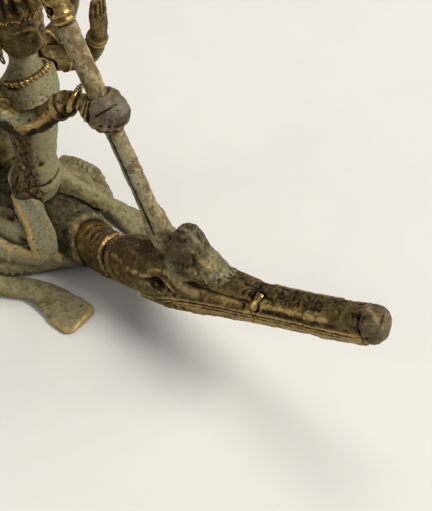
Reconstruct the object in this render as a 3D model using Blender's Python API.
"""Brass temple figure: a four-armed rider on a crocodile mount, cast in sections and pinned together.

The statue faces +X, the rider's right hand is at -Y, and +Z is up. Shapes are laid out in
millimetres from the point of the floor under the neck ring, and the empty "statue_origin"
then moves everything so that the world's origin is the centre of the statue's footprint.
"""

import math

import bpy
import bmesh
from mathutils import Vector

MM = 0.001

# Clearances and walls
GAP = 0.3
SHELL_WALL = 1.7

# Mount: places along X
SNOUT_JOINT = 36.0
SNOUT_END = 55.2
BODY_END = -76.0
TAIL_JOINT = -100.0
FLANK_FRONT_LEG = -33.0
FLANK_HIND_LEG = -67.0
ELBOW_OUT = 18.9
ELBOW_IN = 12.8

# Neck joint: a slanting gap between trunk and head, filled by a ring, with a dowel inside
NECK_SLOPE = math.radians(34.0)
NECK_CENTRE = (3.0, 0.0, 7.2)
NECK_HALF_GAP = 0.9
NECK_RING_RADIUS = 3.75
NECK_RING_WIRE = 0.6
DOWEL_SLOPE = math.radians(18.0)

# Belly opening and its plate
BELLY_FLOOR = 2.4
BELLY_FRONT = -15.0
BELLY_BACK = -48.0
BELLY_HALF_WIDTH = 2.9
PLATE_LIP = 1.7
PLATE_THICKNESS = 0.9

# Rider
RIDER_X = -20.0
SHOULDER_HEIGHT = 43.0
HEAD_CENTRE = (-14.6, 0.0, 54.0)
DRUM_GRIP = 60.0
FLAME_GRIP = 58.9

# Spear: its tip sits in the mount's forehead, its shaft runs through the closed fist
SPEAR_TIP = (16.0, 0.0, 16.9)
SPEAR_LEAN = math.radians(23.8)
SPEAR_LENGTH = 52.0
SHAFT_RADIUS = 1.7
BLADE_LENGTH = 11.5
FIST_DISTANCE = 29.8
FIST_RADIUS = 3.1
WRIST = (-1.2, -1.9, 46.5)

OLIVE_BRASS = (0.36, 0.30, 0.16)
VERDIGRIS_BRASS = (0.40, 0.43, 0.33)
BROWN_BRASS = (0.22, 0.14, 0.06)
WORN_BRASS = (0.66, 0.50, 0.26)


# ---------------------------------------------------------------- scene and materials

def clear_scene():
    for obj in list(bpy.data.objects):
        bpy.data.objects.remove(obj, do_unlink=True)


def brass(name, colour, roughness=0.55, metallic=0.75):
    material = bpy.data.materials.new(name)
    material.use_nodes = True
    shader = material.node_tree.nodes["Principled BSDF"]
    shader.inputs["Base Color"].default_value = (*colour, 1.0)
    shader.inputs["Roughness"].default_value = roughness
    shader.inputs["Metallic"].default_value = metallic
    return material


def empty(name, place=(0.0, 0.0, 0.0), parent=None):
    holder = bpy.data.objects.new(name, None)
    holder.location = Vector(place) * MM
    holder.parent = parent
    bpy.context.scene.collection.objects.link(holder)
    return holder


def add_piece(name, rings, colour, holder, closed=False):
    """One solid from rings of points in millimetres; its origin is the middle of the first ring."""
    anchor = sum(rings[0], Vector()) / len(rings[0])
    sides = len(rings[0])
    shape = bmesh.new()
    rows = [[shape.verts.new((point - anchor) * MM) for point in ring] for ring in rings]
    pairs = list(zip(rows, rows[1:]))
    if closed:
        pairs.append((rows[-1], rows[0]))
    for near, far in pairs:
        for i in range(sides):
            j = (i + 1) % sides
            shape.faces.new((near[i], near[j], far[j], far[i]))
    if not closed:
        shape.faces.new(list(reversed(rows[0])))
        shape.faces.new(rows[-1])
    bmesh.ops.recalc_face_normals(shape, faces=shape.faces)
    mesh = bpy.data.meshes.new(name)
    shape.to_mesh(mesh)
    shape.free()
    mesh.materials.append(brass(name, colour))
    mesh.shade_smooth()
    mesh.set_sharp_from_angle(angle=math.radians(40.0))
    obj = bpy.data.objects.new(name, mesh)
    obj.location = anchor * MM
    if holder.parent:
        obj.location -= holder.location
    obj.parent = holder
    bpy.context.scene.collection.objects.link(obj)
    return obj


# ---------------------------------------------------------------- shapes

def blend_curve(before, start, end, after, t):
    """A point of the Catmull-Rom curve between start and end."""
    return tuple(
        0.5 * (2 * b + (c - a) * t + (2 * a - 5 * b + 4 * c - d) * t * t
               + (3 * b - a - 3 * c + d) * t ** 3)
        for a, b, c, d in zip(before, start, end, after)
    )


def smooth(stations, steps):
    """The stations with steps - 1 more between each two, on a smooth curve."""
    finer = []
    last = len(stations) - 1
    for i in range(last):
        before = stations[max(i - 1, 0)]
        after = stations[min(i + 2, last)]
        for k in range(steps):
            finer.append(blend_curve(before, stations[i], stations[i + 1], after, k / steps))
    finer.append(tuple(stations[-1]))
    return finer


def ring_points(centre, side, rise, half_side, half_rise, sides, power):
    points = []
    for i in range(sides):
        angle = 2 * math.pi * (i + 0.5) / sides
        across = math.copysign(abs(math.cos(angle)) ** (2 / power), math.cos(angle))
        upward = math.copysign(abs(math.sin(angle)) ** (2 / power), math.sin(angle))
        points.append(centre + side * (across * half_side) + rise * (upward * half_rise))
    return points


def loft(name, stations, colour, holder, sides=12, steps=1, side=(0, 1, 0), power=2.0):
    """A solid through stations (x, y, z, half size along side, half size across it)."""
    fine = smooth(stations, steps)
    centres = [Vector(station[:3]) for station in fine]
    rings = []
    for i, station in enumerate(fine):
        ahead = centres[min(i + 1, len(fine) - 1)]
        behind = centres[max(i - 1, 0)]
        along = (ahead - behind).normalized()
        across = Vector(side) - along * along.dot(Vector(side))
        across.normalize()
        rings.append(ring_points(centres[i], across, across.cross(along),
                                 station[3], station[4], sides, power))
    return add_piece(name, rings, colour, holder)


def turned(name, base, axis, profile, colour, holder, sides=12):
    """A round solid along axis, from (distance from base, radius) pairs."""
    along = Vector(axis).normalized()
    across = along.orthogonal().normalized()
    rings = [ring_points(Vector(base) + along * distance, across, across.cross(along),
                         radius, radius, sides, 2.0)
             for distance, radius in profile]
    return add_piece(name, rings, colour, holder)


def hoop(name, centre, axis, half_side, half_rise, wire, colour, holder, around=18, sides=6,
         side=(0, 1, 0)):
    """A closed ring of round wire, oval across axis."""
    along = Vector(axis).normalized()
    across = (Vector(side) - along * along.dot(Vector(side))).normalized()
    rise = across.cross(along)
    rings = []
    for i in range(around):
        angle = 2 * math.pi * i / around
        middle = (Vector(centre) + across * (math.cos(angle) * half_side)
                  + rise * (math.sin(angle) * half_rise))
        outward = (across * math.cos(angle) / half_side + rise * math.sin(angle) / half_rise).normalized()
        rings.append(ring_points(middle, outward, along, wire, wire, sides, 2.0))
    return add_piece(name, rings, colour, holder, closed=True)


def block(name, low, high, colour, holder):
    """A box between two corners."""
    rings = [[Vector((x, low[1], low[2])), Vector((x, high[1], low[2])),
              Vector((x, high[1], high[2])), Vector((x, low[1], high[2]))]
             for x in (low[0], high[0])]
    return add_piece(name, rings, colour, holder)


# ---------------------------------------------------------------- cuts

def hide_as_cutter(obj):
    obj.hide_render = True
    obj.display_type = "WIRE"


def subtract(target, cutter, folded=False):
    """Cuts the cutter out of the target; folded is for a target whose rings meet in a tight bend."""
    hide_as_cutter(cutter)
    modifier = target.modifiers.new(cutter.name, "BOOLEAN")
    modifier.operation = "DIFFERENCE"
    modifier.solver = "EXACT"
    modifier.use_self = folded
    modifier.object = cutter


def grown_copy(obj, gap):
    """A cutter with the object's shape, larger by gap all round."""
    shape = bmesh.new()
    shape.from_mesh(obj.data)
    shape.normal_update()
    moves = [vertex.normal * min(vertex.calc_shell_factor(), 1.6) for vertex in shape.verts]
    for vertex, move in zip(shape.verts, moves):
        vertex.co += move * gap * MM
    mesh = bpy.data.meshes.new(obj.name + "_room")
    shape.to_mesh(mesh)
    shape.free()
    cutter = bpy.data.objects.new(mesh.name, mesh)
    cutter.location = obj.location
    cutter.parent = obj.parent
    bpy.context.scene.collection.objects.link(cutter)
    return cutter


def make_room(target, neighbours, folded=False):
    """Cuts each neighbour's shape out of the target, with the gap between them."""
    for neighbour in neighbours:
        room = bpy.data.objects.get(neighbour.name + "_room") or grown_copy(neighbour, GAP)
        subtract(target, room, folded)


# ---------------------------------------------------------------- mount: head

def head_axis(x):
    """Height and radius of the head's round body at a distance x in front of the neck ring."""
    line = ((3.0, 7.3, 4.5), (8.0, 9.6, 5.1), (15.0, 12.0, 5.4), (22.0, 14.4, 4.85), (29.0, 16.8, 3.95),
            (36.0, 19.4, 3.25), (43.0, 22.7, 3.0), (50.0, 26.2, 3.0), (57.0, 30.8, 3.05))
    for (x0, z0, r0), (x1, z1, r1) in zip(line, line[1:]):
        if x <= x1:
            t = (x - x0) / (x1 - x0)
            return z0 + (z1 - z0) * t, r0 + (r1 - r0) * t
    return line[-1][1:]


def head_stations(start, end, count):
    stations = []
    for i in range(count):
        x = start + (end - start) * i / (count - 1)
        height, radius = head_axis(x)
        stations.append((x, 0.0, height, radius * 0.98, radius))
    return stations


def slanting_cutter(name, distance, turn, holder):
    """Takes away all that lies past the neck plane moved by distance; turn is pi for the head side."""
    cutter = block(name, (0, -20, -20), (30, 20, 20), BROWN_BRASS, holder)
    along = Vector((math.cos(NECK_SLOPE), 0.0, math.sin(NECK_SLOPE)))
    cutter.location = (Vector(NECK_CENTRE) + along * distance) * MM
    cutter.rotation_euler.y = turn - NECK_SLOPE
    return cutter


def build_skull(holder):
    skull = loft("mount_skull", head_stations(-1.0, SNOUT_JOINT, 10), BROWN_BRASS, holder,
                 sides=18, steps=1, power=2.2)
    subtract(skull, slanting_cutter("neck_cut_head", NECK_HALF_GAP, math.pi, holder))
    return skull


def build_snout(holder):
    """The front of the snout with its tenon, which reaches back into the skull."""
    tenon = []
    for x, radius in ((SNOUT_JOINT - 7.0, 1.55), (SNOUT_JOINT + 0.25, 1.75)):
        tenon.append((x, 0.0, head_axis(x)[0], radius, radius))
    front = head_stations(SNOUT_JOINT + 0.35, SNOUT_END, 7)
    return loft("snout", tenon + front, OLIVE_BRASS, holder, sides=16, steps=1, power=2.2)


def build_nose_cap(holder):
    """The blunt nose, with a round tenon at its back."""
    base = Vector((SNOUT_END, 0.0, head_axis(SNOUT_END)[0]))
    axis = Vector((0.84, 0.0, 0.54))
    profile = ((-4.0, 1.2), (0.35, 1.2), (0.4, 3.1), (1.5, 3.0), (2.5, 2.4), (3.0, 1.6), (3.2, 0.8))
    return turned("nose_cap", base, axis, profile, VERDIGRIS_BRASS, holder, sides=18)


def build_lower_jaw(holder):
    stations = []
    for i in range(8):
        x = 9.0 + 46.5 * i / 7
        height, radius = head_axis(x)
        stations.append((x + 0.42 * radius, 0.0, height - 0.9 * (radius - 1.25), 0.86 * radius, 0.95))
    return loft("lower_jaw", stations, OLIVE_BRASS, holder, sides=12, steps=1, power=2.6)


def build_jaw_rivet(name, x, holder):
    height, radius = head_axis(x)
    axis = Vector((-0.42, 0.0, 0.9)).normalized()
    base = Vector((x, 0.0, height)) - axis * (radius + 0.55)
    profile = ((0.0, 0.5), (0.25, 0.95), (0.55, 0.95), (0.6, 0.55), (2.9 + 0.5 * (radius - 3.0), 0.55))
    return turned(name, base, axis, profile, WORN_BRASS, holder, sides=10)


def build_crest(holder):
    stations = [(20.6, 0, 14.5, 2.7, 3.6), (20.2, 0, 18.5, 3.3, 4.2), (20.3, 0, 22.5, 3.1, 3.9),
                (20.2, 0, 25.2, 2.6, 2.9), (19.6, 0, 27.1, 1.8, 1.7)]
    return loft("crest", stations, VERDIGRIS_BRASS, holder, sides=14, steps=1, power=2.4)


def build_eye(name, sign, holder):
    axis = Vector((0.1, sign * 0.82, 0.55)).normalized()
    base = Vector((15.9, sign * 2.9, 12.9)) + axis * 0.4
    profile = ((0.0, 0.7), (1.2, 0.95), (1.9, 0.85), (2.35, 0.45))
    return turned(name, base, axis, profile, WORN_BRASS, holder, sides=10)


def build_snout_key(holder):
    """A short key let into the right flank of the snout joint; it follows the round of the snout."""
    x = SNOUT_JOINT + 0.2
    height, radius = head_axis(x)
    stations = []
    for degrees in (14.0, 31.0, 48.0, 65.0):
        angle = math.radians(degrees)
        stations.append((x, -math.sin(angle) * radius, height + math.cos(angle) * radius, 0.75, 0.6))
    return loft("snout_key", stations, WORN_BRASS, holder, sides=8, steps=1, side=(0.93, 0, 0.37), power=4.0)


def build_neck_ring(holder):
    axis = (math.cos(NECK_SLOPE), 0, math.sin(NECK_SLOPE))
    return hoop("neck_ring", NECK_CENTRE, axis, NECK_RING_RADIUS, NECK_RING_RADIUS + 0.35,
                NECK_RING_WIRE, WORN_BRASS, holder, around=20)


def build_neck_dowel(holder):
    axis = (math.cos(DOWEL_SLOPE), 0, math.sin(DOWEL_SLOPE))
    profile = ((-8.0, 1.9), (-7.5, 2.3), (6.5, 2.3), (7.0, 1.9))
    return turned("neck_dowel", NECK_CENTRE, axis, profile, OLIVE_BRASS, holder, sides=14)


# ---------------------------------------------------------------- mount: body, legs and tail

BODY_LINE = (
    (7.0, 0, 9.1, 4.8, 4.9), (2.2, 0, 6.9, 4.4, 4.5), (-3.0, 0, 6.0, 4.4, 4.4), (-9.5, 0, 6.1, 4.6, 4.45),
    (-15.0, 0, 6.6, 5.2, 4.6), (-22.0, 0, 7.2, 6.4, 5.2), (-31.0, 0, 8.2, 8.4, 6.3),
    (-42.0, 0, 8.9, 9.7, 7.2), (-53.0, 0, 8.9, 9.4, 7.1), (-63.0, 0, 8.1, 7.9, 6.3),
    (-70.0, 0, 7.4, 6.2, 5.4), (BODY_END, 0, 6.8, 5.0, 4.6),
)


def body_half_width(x):
    for a, b in zip(BODY_LINE, BODY_LINE[1:]):
        if x >= b[0]:
            return a[3] + (b[3] - a[3]) * (x - a[0]) / (b[0] - a[0])
    return BODY_LINE[-1][3]


def build_body(holder):
    """The hollow trunk, open underneath between the front and hind legs."""
    body = loft("mount_body", BODY_LINE, OLIVE_BRASS, holder, sides=18, steps=1, power=2.15)
    hollow_line = [(x, y, z, across - SHELL_WALL, high - SHELL_WALL)
                   for x, y, z, across, high in BODY_LINE if -70.0 < x < -14.0]
    subtract(body, loft("body_hollow", hollow_line, OLIVE_BRASS, holder, sides=12, steps=1))
    flat = block("belly_flat", (BELLY_BACK - PLATE_LIP - 0.6, -12, -2),
                 (BELLY_FRONT + PLATE_LIP + 0.6, 12, BELLY_FLOOR), OLIVE_BRASS, holder)
    subtract(body, flat)
    mouth = block("belly_mouth", (BELLY_BACK, -BELLY_HALF_WIDTH, 0),
                  (BELLY_FRONT, BELLY_HALF_WIDTH, 7.0), OLIVE_BRASS, holder)
    subtract(body, mouth)
    subtract(body, slanting_cutter("neck_cut_trunk", -NECK_HALF_GAP, 0.0, holder))
    return body


def build_belly_plate(holder):
    top = BELLY_FLOOR - GAP
    half = BELLY_HALF_WIDTH + PLATE_LIP
    stations = [(x, 0, top - PLATE_THICKNESS / 2, half, PLATE_THICKNESS / 2)
                for x in (BELLY_BACK - PLATE_LIP, BELLY_FRONT + PLATE_LIP)]
    return loft("belly_plate", stations, BROWN_BRASS, holder, sides=12, steps=1, power=8.0)


def build_belly_rivet(name, x, y, holder):
    bottom = BELLY_FLOOR - GAP - PLATE_THICKNESS - GAP - 0.45
    profile = ((0.0, 0.6), (0.15, 0.85), (0.45, 0.85), (0.5, 0.42), (3.9, 0.42))
    return turned(name, (x, y, bottom), (0, 0, 1), profile, WORN_BRASS, holder, sides=10)


def build_mount_leg(name, sign, root_x, elbow, colour, holder):
    """A sprawling leg: a pinned root in the flank, an elbow turned out, a flat spade foot."""
    width = body_half_width(root_x)
    front = root_x + 35.7
    root = [(root_x + 0.6, sign * (width - 2.6), 7.2, 2.0, 2.3),
            (root_x + 1.0, sign * (width + 0.6), 6.6, 2.3, 2.7)]
    limb = [(root_x + 5.0, sign * (0.4 * width + 0.55 * elbow), 4.8, 2.1, 2.5),
            (root_x + 10.5, sign * elbow, 3.5, 1.9, 2.3),
            (root_x + 16.5, sign * (elbow - 0.8), 2.8, 1.7, 2.0),
            (front - 13.0, sign * (0.2 * elbow + 10.2), 1.7, 1.35, 2.4)]
    foot = [(front - 9.0, sign * 12.9, 0.95, 1.15, 3.1), (front - 4.0, sign * 13.0, 0.75, 1.0, 4.0),
            (front - 0.6, sign * 13.1, 0.65, 0.9, 4.2), (front + 0.8, sign * 13.1, 0.6, 0.7, 3.4)]
    leg = loft(name, root + limb + foot, colour, holder, sides=10, steps=2, side=(0, 0, 1), power=2.4)
    floor = block(name + "_floor", (root_x - 20, -40, -10), (front + 20, 40, 0), colour, holder)
    subtract(leg, floor)
    return leg


def build_leg_pin(name, root_x, holder):
    """A pin right through the trunk that holds the roots of a pair of legs."""
    return build_cross_pin(name, root_x + 0.8, 6.9, body_half_width(root_x) + 1.8, 0.8, holder)


def build_tail_root(holder):
    stations = [(BODY_END - 0.35, 0, 6.8, 4.9, 4.5), (-84, 0, 5.6, 4.3, 4.0), (-92, 0, 4.3, 3.6, 3.4),
                (TAIL_JOINT, 0, 3.5, 2.9, 2.8)]
    return loft("tail_root", stations, OLIVE_BRASS, holder, sides=14, steps=2, power=2.15)


def build_tail_curl(holder):
    stations = [(TAIL_JOINT - 0.35, 0, 3.45, 2.85, 2.75), (-108, 0, 3.2, 2.3, 2.3),
                (-115.5, 0, 5.0, 1.95, 2.0),
                (-120.5, 0, 10.0, 1.7, 1.75), (-120.5, 0, 16.0, 1.5, 1.55), (-116.0, 0, 20.0, 1.3, 1.4),
                (-110.5, 0, 19.0, 1.2, 1.25), (-108.5, 0, 14.8, 1.1, 1.15), (-111.2, 0, 12.2, 1.2, 1.2),
                (-113.2, 0, 12.8, 0.8, 0.8)]
    return loft("tail_curl", stations, OLIVE_BRASS, holder, sides=10, steps=2)


def build_dowel(name, x, height, slope, holder):
    profile = ((-4.0, 1.1), (-3.6, 1.4), (3.6, 1.4), (4.0, 1.1))
    return turned(name, (x, 0, height), (1, 0, slope), profile, OLIVE_BRASS, holder, sides=12)


def build_ridge(name, start, end, teeth, top, colour, holder):
    """A comb of back scales: a thin strip whose top edge rises and falls."""
    stations = []
    for i in range(2 * teeth + 1):
        x = start + (end - start) * i / (2 * teeth)
        base = top(x) - 0.9
        tip = top(x) + (1.9 if i % 2 else 0.5)
        stations.append((x, 0, (base + tip) / 2, 0.55, (tip - base) / 2))
    return loft(name, stations, colour, holder, sides=8, steps=1, power=3.0)


# ---------------------------------------------------------------- saddle

def build_saddle_cloth(body, holder):
    """A thick cloth over the mount's neck and shoulders, open underneath and thinner at its front."""
    line = []
    for x, y, z, across, high in BODY_LINE[2:7]:
        extra = min(1.25, 0.55 + 0.09 * (-3.0 - x))
        line.append((x, y, z + 0.1, across + extra, high + extra))
    cloth = loft("saddle_cloth", line, VERDIGRIS_BRASS, holder, sides=18, steps=1, power=2.15)
    under = block("cloth_hem", (-60, -20, -5), (10, 20, 3.9), VERDIGRIS_BRASS, holder)
    subtract(cloth, under)
    front = block("cloth_front", (0, -20, -20), (20, 20, 20), VERDIGRIS_BRASS, holder)
    front.location = Vector((-5.2, 0, 8.0)) * MM
    front.rotation_euler.y = math.radians(-34)
    subtract(cloth, front)
    make_room(cloth, [body])
    return cloth


def build_saddle_back(holder):
    stations = [(-28.8, 0, 13.2, 4.4, 0.8), (-29.2, 0, 16.5, 6.0, 0.85), (-29.4, 0, 23.0, 7.2, 0.85),
                (-28.8, 0, 29.0, 6.6, 0.8), (-28.0, 0, 33.0, 4.4, 0.7), (-27.4, 0, 34.8, 2.2, 0.6)]
    return loft("saddle_back", stations, OLIVE_BRASS, holder, sides=12, steps=1, power=2.6)


# ---------------------------------------------------------------- rider

def build_torso(holder):
    stations = [(RIDER_X + 0.4, 0, 12.3, 4.3, 4.0), (RIDER_X + 0.6, 0, 14.5, 5.0, 4.4),
                (-18.6, 0, 18.0, 4.5, 4.1), (-17.4, 0, 22.5, 4.0, 3.5), (-16.4, 0, 28.0, 4.5, 3.4),
                (-15.6, 0, 34.0, 5.6, 3.6), (-15.2, 0, 39.0, 6.6, 3.5),
                (-15.1, 0, SHOULDER_HEIGHT, 6.4, 3.1), (-15.0, 0, 45.0, 3.6, 2.6), (-14.9, 0, 46.6, 2.3, 2.2),
                (-14.8, 0, 51.5, 2.0, 2.0)]
    return loft("rider_torso", stations, OLIVE_BRASS, holder, sides=14, steps=1, power=2.1)


def build_girdle(holder):
    return hoop("girdle", (-18.9, 0, 17.2), (0.25, 0, 1), 4.75, 4.25, 0.65, WORN_BRASS, holder)


def build_necklace(holder):
    return hoop("necklace", (-14.4, 0, 44.2), (-0.42, 0, 1), 4.1, 3.5, 0.5, WORN_BRASS, holder)


def build_rider_leg(name, sign, holder):
    """Thigh forward to the knee, shin folded back outside it, bare foot behind."""
    stations = [(RIDER_X + 0.5, sign * 2.6, 14.0, 3.1, 2.8), (-16.6, sign * 4.9, 12.6, 3.3, 2.9),
                (-12.6, sign * 6.8, 10.4, 3.1, 2.8), (-10.0, sign * 8.2, 8.6, 2.6, 2.3),
                (-10.8, sign * 10.2, 7.8, 2.1, 1.7), (-14.0, sign * 12.0, 7.8, 1.7, 1.5),
                (-17.0, sign * 13.2, 8.2, 1.8, 1.9), (-20.2, sign * 13.1, 8.5, 1.4, 1.7),
                (-23.4, sign * 12.7, 8.5, 1.1, 1.8), (-25.4, sign * 12.4, 8.4, 0.8, 1.3)]
    return loft(name, stations, OLIVE_BRASS, holder, sides=10, steps=2, side=(0, 0, 1), power=2.2)


def build_spear_arm(holder):
    """Right front arm: upper arm forward and in to the elbow, forearm up to the spear."""
    stations = [(-16.7, -5.4, 43.0, 1.9, 1.9), (-15.0, -7.5, 42.5, 2.3, 2.3), (-12.9, -8.1, 41.1, 2.2, 2.2),
                (-10.2, -6.9, 40.0, 2.1, 2.2), (-7.6, -5.2, 40.8, 2.1, 2.1), (-4.9, -3.6, 43.2, 2.0, 2.0),
                (-2.6, -2.5, 45.4, 1.7, 1.7), (WRIST[0] - 0.25, WRIST[1] - 0.1, WRIST[2] - 0.2, 1.4, 1.4)]
    return loft("front_right_arm", stations, OLIVE_BRASS, holder, sides=10, steps=2, side=(0, 0, 1))


def build_blessing_arm(holder):
    """Left front arm: forearm raised, open palm forward."""
    stations = [(-16.7, 5.5, 43.0, 1.9, 1.9), (-15.4, 7.7, 42.5, 2.3, 2.3), (-14.4, 10.3, 41.3, 2.2, 2.2),
                (-12.6, 12.2, 41.7, 2.0, 2.0), (-10.4, 12.6, 44.6, 1.8, 1.8), (-8.8, 12.4, 48.0, 1.4, 1.4),
                (-8.3, 12.3, 49.8, 1.0, 1.9), (-8.1, 12.2, 52.4, 0.8, 2.0), (-7.8, 12.2, 55.0, 0.7, 1.5)]
    return loft("front_left_arm", stations, OLIVE_BRASS, holder, sides=10, steps=2, side=(1, 0, 0.2),
                power=2.2)


def build_rear_arm(name, sign, grip_top, holder):
    """Rear arm: out and up from the shoulder blade; the hand closes round what it holds."""
    stations = [(-17.4, sign * 3.6, 41.6, 1.7, 1.8), (-18.6, sign * 6.4, 42.6, 2.0, 2.0),
                (-19.0, sign * 10.2, 43.6, 1.9, 1.9), (-18.6, sign * 13.6, 45.4, 1.8, 1.8),
                (-17.6, sign * 15.0, 49.4, 1.6, 1.6), (-16.8, sign * 15.2, 53.4, 1.3, 1.3),
                (-16.4, sign * 15.2, 55.6, 1.5, 1.6), (-16.2, sign * 15.2, 57.4, 1.9, 1.6),
                (-16.1, sign * 15.2, grip_top - 0.6, 2.2, 1.5), (-16.1, sign * 15.2, grip_top, 1.9, 1.2)]
    return loft(name, stations, OLIVE_BRASS, holder, sides=10, steps=1, side=(1, 0, 0))


def build_drum(holder):
    """Hourglass hand drum held by its waist."""
    profile = ((-3.0, 2.3), (-2.6, 2.45), (-1.0, 1.2), (1.0, 1.2), (2.6, 2.45), (3.0, 2.3))
    return turned("hand_drum", (-16.1, -15.2, 59.6), (0.25, 1, 0), profile, BROWN_BRASS, holder, sides=12)


def build_flame(holder):
    stations = [(-16.1, 15.2, 58.1, 1.3, 1.3), (-16.1, 15.2, 59.4, 2.0, 1.7), (-16.1, 15.2, 61.6, 1.6, 1.4),
                (-16.2, 15.1, 64.0, 0.9, 0.8), (-16.2, 14.9, 65.8, 0.3, 0.3)]
    return loft("flame", stations, WORN_BRASS, holder, sides=10, steps=1)


def build_fist(holder):
    """Closed hand round the spear, with a wrist that meets the forearm under the bangle."""
    centre = spear_point(FIST_DISTANCE) + Vector((0.6, 0, 0.2))
    wrist = Vector(WRIST)
    inward = (centre - wrist).normalized()
    stations = []
    for distance, radius in ((0.75, 1.4), (1.6, 1.6), (3.0, 2.5), (4.6, FIST_RADIUS), (6.2, FIST_RADIUS),
                             (7.8, 2.6), (9.0, 1.6)):
        point = wrist + inward * distance
        stations.append((*point, radius, radius))
    return loft("spear_fist", stations, BROWN_BRASS, holder, sides=12, steps=1, side=(0, 1, 0))


def build_bangle(holder):
    return hoop("wrist_bangle", WRIST, (0.89, 0.30, -0.35), 2.15, 2.15, 0.5, WORN_BRASS, holder,
                around=16, sides=6)


def build_rider_head(holder):
    x, y, z = HEAD_CENTRE
    stations = [(x + 0.9, y, z - 5.4, 1.3, 1.5), (x + 0.6, y, z - 4.4, 2.8, 3.0),
                (x + 0.4, y, z - 2.0, 3.9, 4.1),
                (x, y, z + 1.0, 4.4, 4.7), (x - 0.2, y, z + 3.6, 4.1, 4.4), (x - 0.4, y, z + 5.6, 2.6, 2.8)]
    return loft("rider_head", stations, OLIVE_BRASS, holder, sides=14, steps=2)


def build_hair_crown(holder):
    x, y, z = HEAD_CENTRE
    stations = [(x - 0.3, y, z + 2.2, 4.75, 5.05), (x - 0.3, y, z + 4.4, 4.7, 5.0),
                (x - 0.5, y, z + 6.6, 3.7, 3.9), (x - 0.8, y, z + 10.0, 3.4, 3.5),
                (x - 1.1, y, z + 13.6, 2.6, 2.7), (x - 1.3, y, z + 16.2, 1.2, 1.2)]
    return loft("hair_crown", stations, BROWN_BRASS, holder, sides=14, steps=1)


def build_hair_locks(name, sign, holder):
    """Three matted locks that fly out behind the ear, joined in one fan."""
    x, y, z = HEAD_CENTRE
    stations = [(x - 2.2, sign * 3.6, z + 0.4, 2.6, 0.9), (x - 2.8, sign * 5.6, z + 0.9, 3.1, 0.8),
                (x - 3.1, sign * 8.2, z + 1.8, 3.6, 0.7), (x - 3.2, sign * 10.4, z + 3.0, 2.4, 0.5)]
    return loft(name, stations, BROWN_BRASS, holder, sides=10, steps=1, side=(0, 0, 1))


def build_tie_screw(holder):
    """Holds the rider on the mount: its head is inside the trunk, its shank ends in the torso."""
    profile = ((0.0, 1.5), (1.1, 1.5), (1.15, 0.9), (16.0, 0.9), (16.8, 0.5))
    return turned("tie_screw", (RIDER_X + 0.6, 0, 8.15), (0, 0, 1), profile, WORN_BRASS, holder, sides=10)


def build_cross_pin(name, x, height, reach, radius, holder):
    profile = ((0.0, radius), (2 * reach, radius))
    return turned(name, (x, -reach, height), (0, 1, 0), profile, WORN_BRASS, holder, sides=10)


# ---------------------------------------------------------------- spear

def spear_direction():
    return Vector((-math.sin(SPEAR_LEAN), 0.0, math.cos(SPEAR_LEAN)))


def spear_point(distance):
    return Vector(SPEAR_TIP) + spear_direction() * distance


def build_spear(holder):
    """Leaf blade and shaft in one piece; the shaft is straight where it slides in the fist."""
    sizes = ((0.0, 0.5, 0.4), (1.6, 1.4, 1.0), (4.0, 2.2, 1.5), (7.0, 2.5, 1.8), (9.5, 2.2, 1.8),
             (BLADE_LENGTH, SHAFT_RADIUS, SHAFT_RADIUS), (SPEAR_LENGTH - 6.0, SHAFT_RADIUS, SHAFT_RADIUS),
             (SPEAR_LENGTH - 5.9, 1.0, 1.0), (SPEAR_LENGTH, 1.0, 1.0))
    stations = [(*spear_point(distance), broad, thin) for distance, broad, thin in sizes]
    return loft("spear_shaft", stations, VERDIGRIS_BRASS, holder, sides=14, steps=1, side=(0.8, 0.6, 0))


def build_finial(shaft, holder):
    """Socketed three-pronged head of the spear."""
    start = SPEAR_LENGTH - 5.6
    profile = ((start, 1.75), (start + 1.0, 2.0), (start + 6.4, 2.0), (start + 7.2, 1.4))
    socket = turned("trident", SPEAR_TIP, spear_direction(), profile, WORN_BRASS, holder, sides=14)
    prong_foot = start + 5.4
    for index, y in enumerate((-3.2, 0.0, 3.2)):
        tall = 6.4 if y else 8.6
        foot = spear_point(prong_foot)
        middle = spear_point(prong_foot + 2.6) + Vector((0, y, 0))
        tip = spear_point(prong_foot + tall) + Vector((0, y * 0.85, 0))
        stations = [(*foot, 0.8, 0.7), (*middle, 0.8, 0.6), (*tip, 0.2, 0.2)]
        prong = loft("prong_" + str(index), stations, WORN_BRASS, holder, sides=8, steps=2, side=(1, 0, 0.3))
        hide_as_cutter(prong)
        union = socket.modifiers.new(prong.name, "BOOLEAN")
        union.operation = "UNION"
        union.solver = "EXACT"
        union.object = prong
    make_room(socket, [shaft])
    return socket


def build_finial_pin(holder):
    middle = spear_point(SPEAR_LENGTH - 3.0)
    return build_cross_pin("trident_pin", middle.x, middle.z, 2.15, 0.4, holder)


# ---------------------------------------------------------------- assembly

def centre_on_origin(holder):
    """Moves the statue along X so that the middle of its length is at the world's origin."""
    bpy.context.view_layer.update()
    graph = bpy.context.evaluated_depsgraph_get()
    reach = []
    for obj in bpy.context.scene.objects:
        if obj.type == "MESH" and not obj.hide_render:
            solid = obj.evaluated_get(graph)
            reach.extend((solid.matrix_world @ vertex.co).x for vertex in solid.data.vertices)
    holder.location.x = -(min(reach) + max(reach)) / 2


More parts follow.
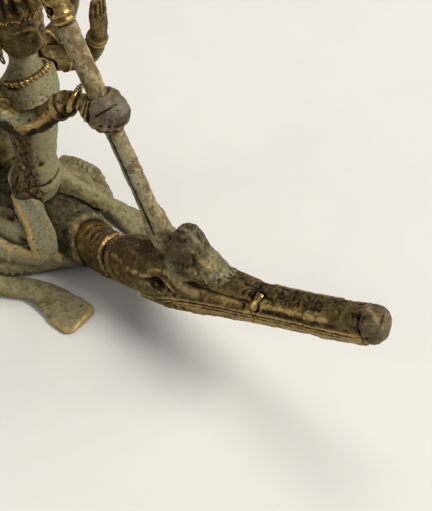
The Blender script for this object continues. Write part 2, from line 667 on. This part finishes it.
def build_statue():
    statue = empty("statue_origin")
    spear_slide = empty("spear_slide", SPEAR_TIP, statue)

    # Pins, dowels and the spear keep their shape; what they pass through is cut for them.
    spear = build_spear(spear_slide)
    trident = build_finial(spear, spear_slide)
    trident_pin = build_finial_pin(spear_slide)
    make_room(spear, [trident_pin])
    make_room(trident, [trident_pin])

    neck_dowel = build_neck_dowel(statue)
    neck_ring = build_neck_ring(statue)
    tail_dowel = build_dowel("tail_dowel", BODY_END - 0.15, 6.8, 0.1, statue)
    curl_dowel = build_dowel("curl_dowel", TAIL_JOINT - 0.15, 3.47, 0.08, statue)
    front_pin = build_leg_pin("front_leg_pin", FLANK_FRONT_LEG, statue)
    hind_pin = build_leg_pin("hind_leg_pin", FLANK_HIND_LEG, statue)
    screw = build_tie_screw(statue)

    # Mount: head
    skull = build_skull(statue)
    snout = build_snout(statue)
    nose = build_nose_cap(statue)
    jaw = build_lower_jaw(statue)
    rivets = [build_jaw_rivet("jaw_rivet_rear", 17.0, statue),
              build_jaw_rivet("jaw_rivet_front", 46.0, statue)]
    crest = build_crest(statue)
    eyes = [build_eye("eye_right", -1, statue), build_eye("eye_left", 1, statue)]
    key = build_snout_key(statue)
    make_room(snout, [nose, jaw, rivets[1], key])
    make_room(skull, [neck_dowel, neck_ring, snout, jaw, rivets[0], crest, spear, key, *eyes])
    make_room(jaw, [nose, *rivets])
    make_room(crest, [spear])

    # Mount: trunk, legs and tail, and the saddle back that is let into the trunk
    back = build_saddle_back(statue)
    body = build_body(statue)
    legs = [build_mount_leg("foreleg_right", -1, FLANK_FRONT_LEG, ELBOW_OUT, OLIVE_BRASS, statue),
            build_mount_leg("foreleg_left", 1, FLANK_FRONT_LEG, ELBOW_IN, VERDIGRIS_BRASS, statue),
            build_mount_leg("hindleg_right", -1, FLANK_HIND_LEG, ELBOW_OUT, OLIVE_BRASS, statue),
            build_mount_leg("hindleg_left", 1, FLANK_HIND_LEG, ELBOW_OUT, VERDIGRIS_BRASS, statue)]
    for leg, pin in zip(legs, (front_pin, front_pin, hind_pin, hind_pin)):
        make_room(leg, [pin])
    plate = build_belly_plate(statue)
    belly_rivets = []
    for i, (x, y) in enumerate(((-17.5, -3.6), (-17.5, 3.6), (-45.5, -3.6), (-45.5, 3.6))):
        belly_rivets.append(build_belly_rivet("belly_rivet_" + str(i + 1), x, y, statue))
    make_room(plate, belly_rivets)
    tail_root = build_tail_root(statue)
    tail_curl = build_tail_curl(statue)
    make_room(tail_root, [tail_dowel, curl_dowel])
    make_room(tail_curl, [curl_dowel])
    back_ridge = build_ridge("back_ridge", -36.0, -74.0, 9, body_top, BROWN_BRASS, statue)
    tail_ridge = build_ridge("tail_ridge", -78.0, -98.0, 6, tail_top, BROWN_BRASS, statue)
    make_room(tail_root, [tail_ridge])
    make_room(body, [neck_dowel, neck_ring, tail_dowel, back_ridge, screw, hind_pin, back])
    make_room(body, [*legs, *belly_rivets])

    # Saddle and rider
    cloth = build_saddle_cloth(body, statue)
    torso = build_torso(statue)
    girdle = build_girdle(statue)
    necklace = build_necklace(statue)
    make_room(cloth, [screw, back, *legs[:2]])
    hip_pin = build_cross_pin("hip_pin", RIDER_X + 2.7, 14.2, 4.6, 0.7, statue)
    shoulder_pin = build_cross_pin("shoulder_pin", -15.1, 42.4, 7.0, 0.7, statue)
    blade_pin = build_cross_pin("rear_shoulder_pin", -17.3, 41.8, 5.0, 0.55, statue)
    make_room(torso, [cloth, screw, girdle, necklace, hip_pin, shoulder_pin, blade_pin])
    for name, sign in (("rider_leg_right", -1), ("rider_leg_left", 1)):
        leg = build_rider_leg(name, sign, statue)
        make_room(leg, [torso, girdle, cloth, hip_pin, *legs[:2]])
    right_arm = build_spear_arm(statue)
    left_arm = build_blessing_arm(statue)
    for arm in (right_arm, left_arm):
        make_room(arm, [torso, shoulder_pin], folded=True)
    fist = build_fist(statue)
    bangle = build_bangle(statue)
    make_room(fist, [spear, bangle, right_arm])
    make_room(right_arm, [bangle], folded=True)
    drum = build_drum(statue)
    flame = build_flame(statue)
    for name, sign, grip_top, held in (("rear_right_arm", -1, DRUM_GRIP, drum),
                                       ("rear_left_arm", 1, FLAME_GRIP, flame)):
        arm = build_rear_arm(name, sign, grip_top, statue)
        make_room(arm, [torso, blade_pin, held, right_arm if sign < 0 else left_arm])
    head = build_rider_head(statue)
    crown = build_hair_crown(statue)
    make_room(head, [torso])
    make_room(crown, [head])
    for name, sign in (("hair_locks_right", -1), ("hair_locks_left", 1)):
        locks = build_hair_locks(name, sign, statue)
        make_room(locks, [head, crown])
    centre_on_origin(statue)


def body_top(x):
    for a, b in zip(BODY_LINE, BODY_LINE[1:]):
        if x >= b[0]:
            t = (x - a[0]) / (b[0] - a[0])
            return a[2] + a[4] + (b[2] + b[4] - a[2] - a[4]) * t
    return BODY_LINE[-1][2] + BODY_LINE[-1][4]


def tail_top(x):
    t = (BODY_END - x) / (BODY_END - TAIL_JOINT)
    return 11.3 + (6.3 - 11.3) * t


clear_scene()
build_statue()
